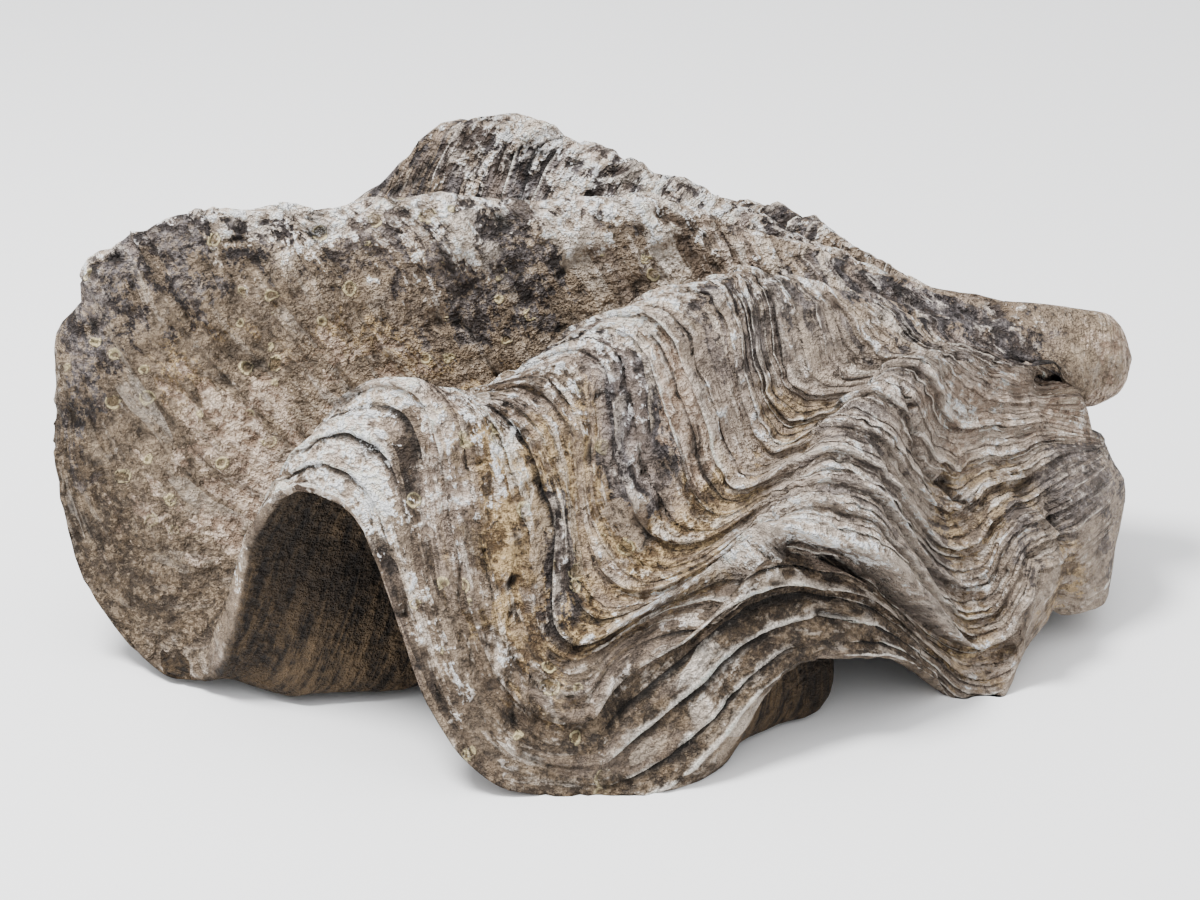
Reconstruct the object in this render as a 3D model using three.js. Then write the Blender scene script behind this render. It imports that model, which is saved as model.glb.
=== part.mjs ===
import * as THREE from "three";

// A fossil giant clam valve resting on the edges of its mouth, beak to the right.
// Millimetres. X runs from the far tips of the ribs to the beak, Y away from the viewer, Z up.

// The smooth round beak, from which every rib fans out.
const beak = { x: 302, y: 88, z: 146, radius: 33 };

// How squarely a rib turns over its crest: 1 is a plain wave, more gives broader crests.
const crestBreadth = 2;

// Depth of the hollow that has flaked out below the lip of the near rib.
const flakeDepth = 17;

// Lines that run from the beak to the mouth, in order round the shell.
// turn: angle round the beak, 0 is up and positive is towards the viewer.
// cuts: how many facets lie between this line and the next.
// path: seven points from behind the beak to the edge of the mouth.
// wall: how thick the shell is below the last five points of the path.
// under: given points of the underside, by their place among those five.
// swell: how far the edge of the mouth stands out beyond an even run from this line to the next.
const lines = [
  { name: "hinge wall, middle", turn: 180, cuts: 3, wall: [66, 60, 52, 46, 36],
    path: [[280, 97, 107], [291, 102, 99], [301, 108, 92], [308, 114, 80], [307, 119, 62], [303, 123, 38],
      [300, 126, 4]],
    under: { 0: [238, 96, 86], 1: [250, 98, 76], 2: [257, 98, 62] } },
  { name: "hinge wall, far part", turn: -160, cuts: 3, wall: [36, 40, 42, 40, 34],
    path: [[262, 114, 119], [266, 130, 107], [268, 144, 95], [269, 156, 80], [270, 166, 60], [270, 174, 38],
      [268, 180, 4]] },
  { name: "far shoulder", turn: -135, cuts: 4, wall: [40, 44, 44, 38, 30],
    path: [[240, 132, 146], [250, 160, 132], [257, 182, 114], [260, 200, 94], [259, 212, 72], [255, 221, 48],
      [246, 228, 18]] },
  { name: "far valley 2", turn: -112, cuts: 4, wall: [62, 66, 64, 52, 30],
    path: [[236, 142, 148], [212, 172, 144], [196, 194, 138], [180, 212, 120], [164, 228, 92], [150, 240, 50],
      [140, 248, -3]] },
  { name: "far rib 2", turn: -92, cuts: 4, wall: [76, 72, 60, 44, 26],
    path: [[226, 142, 166], [180, 168, 186], [140, 190, 202], [104, 212, 206], [68, 234, 192], [38, 254, 158],
      [20, 268, 100]] },
  { name: "far valley 1", turn: -75, cuts: 5, wall: [66, 72, 72, 60, 30],
    path: [[222, 132, 164], [162, 150, 168], [106, 168, 168], [54, 184, 154], [6, 200, 132], [-36, 214, 88],
      [-70, 226, -3]] },
  { name: "far rib 1", turn: -45, cuts: 5, wall: [116, 116, 98, 68, 28],
    path: [[215, 120, 183], [145, 128, 208], [82, 136, 237], [25, 144, 253], [-42, 154, 278], [-104, 168, 270],
      [-180, 184, 176]],
    swell: [-6, 0, 0] },
  { name: "middle valley, far", turn: -22, cuts: 5, wall: [72, 86, 92, 84, 34],
    path: [[209, 102, 180], [132, 99, 198], [52, 96, 190], [-32, 93, 168], [-110, 92, 150], [-180, 95, 112],
      [-240, 96, -3]] },
  { name: "middle rib", turn: 0, cuts: 5, wall: [134, 142, 128, 92, 34],
    path: [[203, 84, 196], [118, 72, 234], [12, 60, 260], [-100, 45, 262], [-230, 31, 264], [-301, 18, 230],
      [-327, -2, 128]],
    swell: [-20, -6, -6] },
  { name: "middle valley, near", turn: 22, cuts: 5, wall: [72, 86, 96, 92, 34],
    path: [[207, 64, 188], [135, 42, 203], [62, 28, 190], [-34, 2, 148], [-122, -18, 134], [-194, -36, 104],
      [-253, -60, 14]],
    under: { 1: [-80, -76, 8], 2: [-130, -92, 0], 3: [-180, -98, -2], 4: [-224, -102, -4] } },
  { name: "near rib 1", turn: 45, cuts: 6, wall: [110, 104, 84, 54, 24],
    path: [[211, 44, 190], [148, 16, 217], [84, -10, 239], [0, -50, 221], [-58, -88, 192], [-111, -97, 206],
      [-158, -126, 155]],
    swell: [-26, -8, -16] },
  { name: "near valley 1", turn: 66, cuts: 6, wall: [78, 84, 84, 84, 40],
    path: [[218, 32, 180], [184, 6, 186], [137, -28, 176], [98, -60, 150], [51, -115, 107], [-4, -165, 71],
      [0, -200, -3]],
    under: { 2: [138, -104, 3], 3: [90, -130, 1], 4: [36, -175, -4] } },
  { name: "near rib 2", turn: 84, cuts: 5, wall: [84, 78, 62, 46, 26],
    path: [[234, 30, 174], [206, 6, 180], [183, -15, 180], [153, -52, 164], [138, -90, 146], [126, -132, 124],
      [134, -142, 56]],
    swell: [4, 0, 10] },
  { name: "near valley 2", turn: 100, cuts: 5, wall: [60, 62, 58, 48, 28],
    path: [[252, 35, 164], [229, 16, 160], [210, -2, 142], [204, -28, 104], [210, -50, 62], [220, -72, 27],
      [214, -80, -3]],
    swell: [6, -14, -12] },
  { name: "near rib 3", turn: 114, cuts: 4, wall: [54, 54, 48, 38, 24],
    path: [[262, 42, 160], [250, 28, 148], [243, 14, 132], [243, -6, 108], [250, -32, 88], [258, -54, 66],
      [257, -60, 14]],
    swell: [-4, 4, 8] },
  { name: "near valley 3", turn: 126, cuts: 4, wall: [52, 52, 48, 38, 26],
    path: [[270, 50, 150], [270, 42, 140], [272, 32, 128], [274, 18, 112], [280, 0, 88], [290, -14, 60],
      [293, -17, 21]] },
  { name: "near shoulder", turn: 138, cuts: 3, wall: [50, 50, 46, 38, 28],
    path: [[272, 58, 141], [283, 52, 129], [294, 48, 119], [304, 42, 108], [314, 34, 94], [321, 22, 70],
      [316, 8, 15]] },
  { name: "near end", turn: 150, cuts: 3, wall: [60, 58, 58, 58, 38],
    path: [[275, 68, 125], [288, 68, 113], [300, 69, 108], [312, 70, 101], [324, 69, 89], [333, 58, 68],
      [322, 46, 20]],
    under: { 0: [244, 76, 86], 1: [258, 72, 78], 2: [268, 68, 70], 3: [276, 60, 56] } },
  { name: "hinge wall, near part", turn: 165, cuts: 3, wall: [80, 75, 62, 50, 38],
    path: [[283, 82, 106], [300, 85, 100], [315, 88, 99], [325, 89, 91], [322, 90, 74], [310, 92, 44],
      [303, 92, 4]],
    under: { 0: [240, 84, 88], 1: [252, 80, 78], 2: [260, 78, 64], 3: [262, 80, 42] } },
];

// The top of the hollow inside, behind which the shell is solid to the beak.
const hollowTop = [205, 88, 98];

// Growth ledges: where the lip lies along the path, and how far it stands out.
const ledges = [
  { at: 3.7, lift: 1.5 }, { at: 4.3, lift: 3 }, { at: 5, lift: 6 }, { at: 5.55, lift: 5 },
  { at: 6.1, lift: 7 }, { at: 6.6, lift: 5 }, { at: 7.1, lift: 6 }, { at: 7.55, lift: 5 },
  { at: 8, lift: 8 }, { at: 8.5, lift: 4 },
];
const ledgeReach = 0.4;

// The share of a swelling that is left at the edge of the mouth, and one and two points above it.
const swellLeft = [1, 0.6, 0.25];

// Above 1, a swelling lies nearer the next line than its own.
const swellLean = 1.4;

// How far the middle of the rim stands out beyond its two edges.
const rimBulge = 3;

const levelCount = 10;
const count = lines.length;

function ringPoint(turn, rise) {
  const a = turn * Math.PI / 180;
  const b = rise * Math.PI / 180;
  return [
    beak.x + beak.radius * Math.cos(b),
    beak.y - beak.radius * Math.sin(b) * Math.sin(a),
    beak.z + beak.radius * Math.sin(b) * Math.cos(a),
  ];
}

function add(a, b, scale = 1) {
  return [a[0] + b[0] * scale, a[1] + b[1] * scale, a[2] + b[2] * scale];
}

function unit(a) {
  const size = Math.hypot(a[0], a[1], a[2]) || 1;
  return [a[0] / size, a[1] / size, a[2] / size];
}

function cross(a, b) {
  return [a[1] * b[2] - a[2] * b[1], a[2] * b[0] - a[0] * b[2], a[0] * b[1] - a[1] * b[0]];
}

// Each column of the net: three rings of the beak, then the seven points of the path.
const outerNet = lines.map(line => [0, 45, 90].map(rise => ringPoint(line.turn, rise)).concat(line.path));

// The same net with its ribs levelled out.
function levelled(net) {
  return net.map((column, i) => column.map((point, j) => {
    const before = net[(i + count - 1) % count][j];
    const after = net[(i + 1) % count][j];
    return add(add(add([0, 0, 0], before, 0.25), point, 0.5), after, 0.25);
  }));
}

// The direction out of the shell at each point of the levelled net.
function outwardNet(net) {
  return net.map((column, i) => column.map((point, j) => {
    const around = add(net[(i + 1) % count][j], net[(i + count - 1) % count][j], -1);
    const along = add(column[Math.min(j + 1, column.length - 1)], column[Math.max(j - 1, 0)], -1);
    return unit(cross(along, around));
  }));
}

// The underside: the top of the hollow, then a point below each of the last five of the path.
function underNet() {
  const smooth = levelled(levelled(outerNet));
  const outward = levelled(levelled(outwardNet(smooth))).map(column => column.map(unit));
  return lines.map((line, i) => [hollowTop].concat(line.wall.map((thickness, j) => {
    const level = levelCount - 5 + j;
    const given = line.under && line.under[j];
    return given || add(outerNet[i][level], outward[i][level], -thickness);
  })));
}

function catmull(a, b, c, d, f) {
  return 0.5 * (2 * b + (c - a) * f + (2 * a - 5 * b + 4 * c - d) * f * f
    + (3 * b - a - 3 * c + d) * f * f * f);
}

// One column of a net at any place round the shell: a smooth middle with the fold and the swelling over it.
function columnAt(net, middle, around) {
  const i = Math.floor(around) % count;
  const f = around - Math.floor(around);
  const leaning = f ** swellLean;
  const swollen = (4 * leaning * (1 - leaning)) ** 2;
  const swell = lines[i].swell || [0, 0, 0];
  const blend = f ** crestBreadth / (f ** crestBreadth + (1 - f) ** crestBreadth);
  const near = [(i + count - 1) % count, i, (i + 1) % count, (i + 2) % count];
  return net[0].map((unused, j) => [0, 1, 2].map(k => {
    const left = swellLeft[net[0].length - 1 - j] || 0;
    const m = near.map(n => middle[n][j][k]);
    const foldHere = net[near[1]][j][k] - m[1];
    const foldNext = net[near[2]][j][k] - m[2];
    return catmull(m[0], m[1], m[2], m[3], f) + foldHere * (1 - blend) + foldNext * blend
      + swell[k] * swollen * left;
  }));
}

function pointAt(column, along) {
  const last = column.length - 1;
  const j = Math.min(Math.floor(along), last - 1);
  const f = along - j;
  return [0, 1, 2].map(k => {
    const b = column[j][k];
    const c = column[j + 1][k];
    const a = j > 0 ? column[j - 1][k] : 2 * b - c;
    const d = j < last - 1 ? column[j + 2][k] : 2 * c - b;
    return catmull(a, b, c, d, f);
  });
}

const outerMiddle = levelled(outerNet);
const under = underNet();
const underMiddle = levelled(under);

function indexOf(name) {
  return lines.findIndex(line => line.name === name);
}

// 1 at the named line, falling to 0 at a given number of lines away.
function closeness(around, name, reach) {
  const gap = Math.abs(around - indexOf(name));
  return Math.max(0, 1 - Math.min(gap, count - gap) / reach);
}

// Ledges are strongest on the near right side and worn almost smooth on the far left.
function ledgeStrength(around) {
  const nearSide = closeness(around, "near rib 2", 4.5);
  const farSide = closeness(around, "far rib 2", 3);
  return 0.22 + 0.88 * Math.max(nearSide, 0.5 * farSide);
}

// A lip never stands out further than this share of the growth between two lines of the net.
const lipShare = 0.2;

function ledgeLift(around, along, growth) {
  let lift = 0;
  for (const ledge of ledges) {
    const before = ledge.at - along;
    if (before > -0.001 && before < ledgeReach) {
      lift = Math.max(lift, ledge.lift * (1 - before / ledgeReach) ** 1.5);
    }
  }
  return Math.min(lift * ledgeStrength(around), lipShare * growth);
}

// The flaked hollow below the lip of the second near rib, with shallow steps in it.
function flake(around, along) {
  const width = closeness(around, "near rib 2", 0.95);
  const below = along - 8;
  if (width <= 0 || below <= 0.001) {
    return 0;
  }
  const steps = 1 - 0.22 * Math.floor(below * 3.2);
  return flakeDepth * Math.min(1, width * 2.2) * Math.max(0.2, steps) * Math.min(1, (1.02 - below) * 4);
}

// The point on the outer face, with the direction out of the shell there.
function outerPoint(around, along) {
  const step = 0.01;
  const column = columnAt(outerNet, outerMiddle, around);
  const beside = columnAt(outerNet, outerMiddle, (around + step) % count);
  const here = pointAt(column, along);
  const nextAlong = pointAt(column, Math.min(along + step, levelCount - 1));
  const backAlong = pointAt(column, Math.max(along - step, 0));
  const run = add(nextAlong, backAlong, -1);
  const outward = unit(cross(run, add(pointAt(beside, along), here, -1)));
  const growth = Math.hypot(...run) / (2 * step);
  const lift = ledgeLift(around, along, growth) - flake(around, along);
  return { point: add(here, outward, lift), outward };
}

const places = lines.flatMap((line, i) =>
  Array.from({ length: line.cuts }, (unused, k) => i + k / line.cuts));

// Rows from the tip of the beak to the mouth, with one on the lip and one at the foot of each ledge.
const rows = [0.5, 1, 1.5, 2, 2.5, 3.1];
ledges.forEach((ledge, i) => {
  const next = i + 1 < ledges.length ? ledges[i + 1].at : levelCount - 1;
  rows.push(ledge.at, ledge.at + 0.05, (ledge.at + next) / 2);
  if (next - ledge.at > 0.52) {
    rows.push(next - 0.12);
  }
});
rows.push(levelCount - 1);

const underRows = [5, 4.6, 4.2, 3.8, 3.4, 3, 2.6, 2.2, 1.8, 1.4, 1, 0.6];

// How deep the underside lies at least below the outer face, at the mouth and further in.
const mouthDepth = 17;
const innerDepth = 24;

// Draws every point of the underside inwards until it lies deep enough below the outer face.
function settle(underside, outside) {
  const all = outside.flat();
  for (let pass = 0; pass < 30; pass += 1) {
    underside.forEach(column => column.forEach((point, j) => {
      const wanted = j < 2 ? mouthDepth : innerDepth;
      let nearest = null;
      let best = Infinity;
      for (const place of all) {
        const gap = (place.point[0] - point[0]) ** 2 + (place.point[1] - point[1]) ** 2
          + (place.point[2] - point[2]) ** 2;
        if (gap < best) {
          best = gap;
          nearest = place;
        }
      }
      const depth = [0, 1, 2].reduce((sum, k) => sum + (nearest.point[k] - point[k]) * nearest.outward[k], 0);
      if (depth < wanted) {
        column[j] = add(point, nearest.outward, 0.6 * (depth - wanted));
      }
    }));
    const before = underside.map(column => column.map(point => [...point]));
    underside.forEach((column, i) => column.forEach((point, j) => {
      if (j > 0 && j < column.length - 1) {
        const left = before[(i + underside.length - 1) % underside.length][j];
        const right = before[(i + 1) % underside.length][j];
        const sides = add(left, right).map(value => value / 2);
        const ends = add(before[i][j - 1], before[i][j + 1]).map(value => value / 2);
        const middle = add(sides, ends).map(value => value / 2);
        column[j] = add(point, add(middle, point, -1), 0.05);
      }
    }));
  }
}

function shellSurface() {
  const outside = places.map(around => rows.map(along => outerPoint(around, along)));
  const underside = places.map(around => {
    const column = columnAt(under, underMiddle, around);
    return underRows.map(along => pointAt(column, along));
  });
  settle(underside, outside);
  const ring = places.map((around, i) => {
    const edge = outside[i][rows.length - 1].point;
    const inside = outside[i][rows.length - 2].point;
    const middle = add(edge, underside[i][0]).map(value => value / 2);
    const rim = add(middle, unit(add(edge, inside, -1)), rimBulge);
    return outside[i].map(place => place.point).concat([rim], underside[i]);
  });
  const points = [ringPoint(0, 0), ...ring.flat(), hollowTop];
  const faces = [];
  const deep = ring[0].length;
  const total = places.length;
  const at = (i, j) => 1 + (i % total) * deep + j;
  for (let i = 0; i < total; i += 1) {
    faces.push([0, at(i, 0), at(i + 1, 0)]);
    for (let j = 0; j < deep - 1; j += 1) {
      faces.push([at(i, j), at(i + 1, j + 1), at(i + 1, j)]);
      faces.push([at(i, j), at(i, j + 1), at(i + 1, j + 1)]);
    }
    faces.push([points.length - 1, at(i + 1, deep - 1), at(i, deep - 1)]);
  }
  return { points: points.map(point => [...point]), faces };
}

function shellGeometry() {
  const { points, faces } = shellSurface();
  for (const point of points) {
    point[2] = Math.max(point[2], 0);
  }
  const low = [0, 1, 2].map(k => Math.min(...points.map(point => point[k])));
  const high = [0, 1, 2].map(k => Math.max(...points.map(point => point[k])));
  const origin = [(low[0] + high[0]) / 2, (low[1] + high[1]) / 2, low[2]];
  const geometry = new THREE.BufferGeometry();
  const flat = points.flatMap(point => add(point, origin, -1));
  geometry.setAttribute("position", new THREE.Float32BufferAttribute(flat, 3));
  geometry.setIndex(faces.flat());
  geometry.computeVertexNormals();
  return geometry;
}

const shellMaterial = new THREE.MeshStandardMaterial({
  name: "weathered shell",
  color: new THREE.Color("#8f7c68"),
  roughness: 0.82,
  metalness: 0,
});

const shell = new THREE.Mesh(shellGeometry(), shellMaterial);
shell.name = "shell";

const part = new THREE.Group();
part.add(shell);

export default part;
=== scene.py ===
import math

import bpy
import numpy as np
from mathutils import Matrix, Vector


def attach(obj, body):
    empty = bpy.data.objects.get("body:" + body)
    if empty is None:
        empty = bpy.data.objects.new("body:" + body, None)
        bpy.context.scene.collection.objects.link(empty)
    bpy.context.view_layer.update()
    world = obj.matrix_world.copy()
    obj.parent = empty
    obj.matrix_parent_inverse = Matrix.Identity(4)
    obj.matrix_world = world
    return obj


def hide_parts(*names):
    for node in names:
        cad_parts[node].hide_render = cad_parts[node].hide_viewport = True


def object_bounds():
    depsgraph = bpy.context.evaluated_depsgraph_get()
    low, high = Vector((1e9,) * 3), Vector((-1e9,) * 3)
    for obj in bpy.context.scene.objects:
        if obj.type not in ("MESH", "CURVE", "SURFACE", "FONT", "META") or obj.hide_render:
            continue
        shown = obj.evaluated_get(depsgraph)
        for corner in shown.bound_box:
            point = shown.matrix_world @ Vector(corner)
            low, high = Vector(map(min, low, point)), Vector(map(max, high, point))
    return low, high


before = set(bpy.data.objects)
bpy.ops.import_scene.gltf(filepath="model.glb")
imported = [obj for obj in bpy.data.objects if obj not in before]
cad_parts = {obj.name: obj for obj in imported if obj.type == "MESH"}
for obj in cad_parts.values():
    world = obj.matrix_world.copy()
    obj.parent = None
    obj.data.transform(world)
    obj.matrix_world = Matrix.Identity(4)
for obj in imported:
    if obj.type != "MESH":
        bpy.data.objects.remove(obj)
cad_box = [list(map(float, corner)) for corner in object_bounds()]

# A fossil giant clam valve, resting on the wavy edge of its mouth. The net below is in millimetres:
# X runs from the far tips of the ribs to the beak, Y away from the viewer, Z up.

ORIGIN = np.array([4.0, 33.953, 0.0])
BEAK = np.array([302.0, 88.0, 146.0])
BEAK_RADIUS = 33.0
BEAK_DEGREES = (0, 45, 90)
CREST_BREADTH = 2.0
FLAKE_DEPTH = 17.0

# Lines from the beak to the mouth, in order round the shell. Each has its angle round the beak, seven
# points from behind the beak to the edge, the wall's thickness below the last five, and any points of the
# underside that are given instead.
LINES = {
    "hinge_mid": (180, [(280, 97, 107), (291, 102, 99), (301, 108, 92), (308, 114, 80), (307, 119, 62),
                        (303, 123, 38), (300, 126, 4)], (66, 60, 52, 46, 36),
                  {0: (238, 96, 86), 1: (250, 98, 76), 2: (257, 98, 62)}),
    "hinge_far": (-160, [(262, 114, 119), (266, 130, 107), (268, 144, 95), (269, 156, 80), (270, 166, 60),
                         (270, 174, 38), (268, 180, 4)], (36, 40, 42, 40, 34), {}),
    "shoulder_far": (-135, [(240, 132, 146), (250, 160, 132), (257, 182, 114), (260, 200, 94),
                            (259, 212, 72), (255, 221, 48), (246, 228, 18)], (40, 44, 44, 38, 30), {}),
    "valley_far_2": (-112, [(236, 142, 148), (212, 172, 144), (196, 194, 138), (180, 212, 120),
                            (164, 228, 92), (150, 240, 50), (140, 248, -3)], (62, 66, 64, 52, 30), {}),
    "rib_far_2": (-92, [(226, 142, 166), (180, 168, 186), (140, 190, 202), (104, 212, 206), (68, 234, 192),
                        (38, 254, 158), (20, 268, 100)], (76, 72, 60, 44, 26), {}),
    "valley_far_1": (-75, [(222, 132, 164), (162, 150, 168), (106, 168, 168), (54, 184, 154), (6, 200, 132),
                           (-36, 214, 88), (-70, 226, -3)], (66, 72, 72, 60, 30), {}),
    "rib_far_1": (-45, [(215, 120, 183), (145, 128, 208), (82, 136, 237), (25, 144, 253), (-42, 154, 278),
                        (-104, 168, 270), (-180, 184, 176)], (116, 116, 98, 68, 28), {}),
    "valley_mid_far": (-22, [(209, 102, 180), (132, 99, 198), (52, 96, 190), (-32, 93, 168), (-110, 92, 150),
                             (-180, 95, 112), (-240, 96, -3)], (72, 86, 92, 84, 34), {}),
    "rib_mid": (0, [(203, 84, 196), (118, 72, 234), (12, 60, 260), (-100, 45, 262), (-230, 31, 264),
                    (-301, 18, 230), (-327, -2, 128)], (134, 142, 128, 92, 34), {}),
    "valley_mid_near": (22, [(207, 64, 188), (135, 42, 203), (62, 28, 190), (-34, 2, 148), (-122, -18, 134),
                             (-194, -36, 104), (-253, -60, 14)], (72, 86, 96, 92, 34),
                        {1: (-80, -76, 8), 2: (-130, -92, 0), 3: (-180, -98, -2), 4: (-224, -102, -4)}),
    "rib_near_1": (45, [(211, 44, 190), (148, 16, 217), (84, -10, 239), (0, -50, 221), (-58, -88, 192),
                        (-111, -97, 206), (-158, -126, 155)], (110, 104, 84, 54, 24), {}),
    "valley_near_1": (66, [(218, 32, 180), (184, 6, 186), (137, -28, 176), (98, -60, 150), (51, -115, 107),
                           (-4, -165, 71), (0, -200, -3)], (78, 84, 84, 84, 40),
                      {2: (138, -104, 3), 3: (90, -130, 1), 4: (36, -175, -4)}),
    "rib_near_2": (84, [(234, 30, 174), (206, 6, 180), (183, -15, 180), (153, -52, 164), (138, -90, 146),
                        (126, -132, 124), (134, -142, 56)], (84, 78, 62, 46, 26), {}),
    "valley_near_2": (100, [(252, 35, 164), (229, 16, 160), (210, -2, 142), (204, -28, 104), (210, -50, 62),
                            (220, -72, 27), (214, -80, -3)], (60, 62, 58, 48, 28), {}),
    "rib_near_3": (114, [(262, 42, 160), (250, 28, 148), (243, 14, 132), (243, -6, 108), (250, -32, 88),
                         (258, -54, 66), (257, -60, 14)], (54, 54, 48, 38, 24), {}),
    "valley_near_3": (126, [(270, 50, 150), (270, 42, 140), (272, 32, 128), (274, 18, 112), (280, 0, 88),
                            (290, -14, 60), (293, -17, 21)], (52, 52, 48, 38, 26), {}),
    "shoulder_near": (138, [(272, 58, 141), (283, 52, 129), (294, 48, 119), (304, 42, 108), (314, 34, 94),
                            (321, 22, 70), (316, 8, 15)], (50, 50, 46, 38, 28), {}),
    "end_near": (150, [(275, 68, 125), (288, 68, 113), (300, 69, 108), (312, 70, 101), (324, 69, 89),
                       (333, 58, 68), (322, 46, 20)], (60, 58, 58, 58, 38),
                 {0: (244, 76, 86), 1: (258, 72, 78), 2: (268, 68, 70), 3: (276, 60, 56)}),
    "hinge_near": (165, [(283, 82, 106), (300, 85, 100), (315, 88, 99), (325, 89, 91), (322, 90, 74),
                         (310, 92, 44), (303, 92, 4)], (80, 75, 62, 50, 38),
                   {0: (240, 84, 88), 1: (252, 80, 78), 2: (260, 78, 64), 3: (262, 80, 42)}),
}
NAMES = list(LINES)
COUNT = len(NAMES)
# Growth levels: the edge of the mouth, and the first level with a point of the underside below it.
LAST = 9.0
UNDER_FROM = 5

# The solid's columns from each line to the next.
CAD_CUTS = [3, 3, 4, 4, 4, 5, 5, 5, 5, 5, 6, 6, 5, 5, 4, 4, 3, 3, 3]
HOLLOW_TOP = np.array([205.0, 88.0, 98.0])

# How far the edge of the mouth stands out between a line and the next, beyond an even run from one to the
# other, and how much of it is left one and two growth levels above the edge.
SWELLS = {
    "rib_far_1": (-6, 0, 0), "rib_mid": (-20, -6, -6), "rib_near_1": (-26, -8, -16),
    "rib_near_2": (4, 0, 10), "valley_near_2": (6, -14, -12), "rib_near_3": (-4, 4, 8),
}
SWELL_LEFT = (1, 0.6, 0.25)
SWELL_LEAN = 1.4
# Big ledges: growth level and height.
BIG_LEDGES = [
    (3.7, 1.5), (4.3, 3), (5, 6), (5.55, 5), (6.1, 7), (6.6, 5), (7.1, 6), (7.55, 5), (8, 8), (8.5, 4),
]
LEDGE_REACH = 0.4

# Layers: the foot of the first, where the counted gaps start, the usual gap, one lip that is followed
# sharply, and the usual height.
FIRST_LAYER = 2.62
LAYERS_FROM = 2.75
LAYER_GAP = 0.13
SHARP_LIP = 6.9
LAYER_HEIGHT = 2.7

# Depths of the underside below the outer face, near the mouth and further in, and how it is drawn inwards.
MOUTH_DEPTH = 17.0
INNER_DEPTH = 24.0
DRAW_ROUNDS = 30
DRAW_SHARE = 0.6
DRAW_EVENING = 0.05

# The underside's rows, and the growth between one of the solid's rows and the next.
UNDER_ROWS = 30
UNDER_GROWTH = 0.36

# The outer face is sunk a little, so that its lumps stay near the solid's.
SUNK = 1.5


# Noise.

def hashed(x, y, z, seed):
    h = (x.astype(np.uint64) * np.uint64(374761393) + y.astype(np.uint64) * np.uint64(668265263)
         + z.astype(np.uint64) * np.uint64(2246822519) + np.uint64(seed * 3266489917))
    h &= np.uint64(0xFFFFFFFF)
    h = ((h ^ (h >> np.uint64(13))) * np.uint64(1274126177)) & np.uint64(0xFFFFFFFF)
    h ^= h >> np.uint64(16)
    return (h & np.uint64(0xFFFFFF)).astype(float) / 0xFFFFFF


def value_noise(p, seed):
    base = np.floor(p)
    f = p - base
    f = f * f * f * (f * (f * 6 - 15) + 10)
    i = (base + 4096).astype(np.int64)
    total = 0
    for dx in (0, 1):
        for dy in (0, 1):
            for dz in (0, 1):
                w = ((f[..., 0] if dx else 1 - f[..., 0]) * (f[..., 1] if dy else 1 - f[..., 1])
                     * (f[..., 2] if dz else 1 - f[..., 2]))
                total = total + w * hashed(i[..., 0] + dx, i[..., 1] + dy, i[..., 2] + dz, seed)
    return total * 2 - 1


def noise(p, size, seed, octaves=1, rough=0.5):
    """Smooth noise from -1 to 1; size is the width of its largest features, in the units of p."""
    total, scale, weight, most = 0, 1.0 / size, 1.0, 0.0
    for k in range(octaves):
        total = total + weight * value_noise(p * scale, seed + 17 * k)
        most += weight
        scale *= 2.03
        weight *= rough
    return total / most


def smooth(x, low, high):
    t = np.clip((x - low) / (high - low), 0, 1)
    return t * t * (3 - 2 * t)


def around_gap(a, centre):
    gap = np.abs(a - centre)
    return np.minimum(gap, COUNT - gap)


def blob(a, v, place, reach):
    """A soft round patch on the shell: 1 at its place, 0 at its reach."""
    return 1 - smooth(np.hypot(around_gap(a, place[0]) / reach[0], (v - place[1]) / reach[1]), 0.3, 1.0)


# The smooth shell.

def ring_point(turn, rise):
    turn, rise = math.radians(turn), math.radians(rise)
    way = [math.cos(rise), -math.sin(rise) * math.sin(turn), math.sin(rise) * math.cos(turn)]
    return BEAK + BEAK_RADIUS * np.array(way)


def outer_net():
    net = []
    for turn, points, _, _ in LINES.values():
        net.append([ring_point(turn, rise) for rise in BEAK_DEGREES] + [np.array(p, float) for p in points])
    return np.array(net)


def levelled(net):
    return (np.roll(net, 1, 0) + 2 * net + np.roll(net, -1, 0)) / 4


def unit(x):
    return x / np.maximum(np.linalg.norm(x, axis=-1, keepdims=True), 1e-9)


def under_net(net):
    flat = levelled(levelled(net))
    around = np.roll(flat, -1, 0) - np.roll(flat, 1, 0)
    steps = [flat[:, 1:2] - flat[:, :1], flat[:, 2:] - flat[:, :-2], flat[:, -1:] - flat[:, -2:-1]]
    out = unit(levelled(levelled(unit(np.cross(np.concatenate(steps, 1), around)))))
    rows = []
    for i, (_, _, thicknesses, given) in enumerate(LINES.values()):
        row = [HOLLOW_TOP]
        for j, thickness in enumerate(thicknesses):
            below = net[i, UNDER_FROM + j] - out[i, UNDER_FROM + j] * thickness
            row.append(np.array(given[j], float) if j in given else below)
        rows.append(row)
    return np.array(rows)


def catmull(a, b, c, d, f):
    return 0.5 * (2 * b + (c - a) * f + (2 * a - 5 * b + 4 * c - d) * f**2 + (3 * b - a - 3 * c + d) * f**3)


def columns_at(net, a):
    """The net's lines at any places round the shell: a smooth middle with the folds laid over it."""
    a = np.mod(a, COUNT)
    middle = levelled(net)
    fold = net - middle
    i = np.floor(a).astype(int) % COUNT
    f = (a - np.floor(a))[:, None, None]
    blend = f**CREST_BREADTH / (f**CREST_BREADTH + (1 - f)**CREST_BREADTH)
    m = [middle[(i + k) % COUNT] for k in (-1, 0, 1, 2)]
    column = catmull(*m, f) + fold[i] * (1 - blend) + fold[(i + 1) % COUNT] * blend
    lean = f[:, 0]**SWELL_LEAN
    swell = np.array([SWELLS.get(name, (0, 0, 0)) for name in NAMES])[i] * (4 * lean * (1 - lean))**2
    for level, share in enumerate(SWELL_LEFT):
        column[:, -1 - level] += swell * share
    return column


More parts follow.
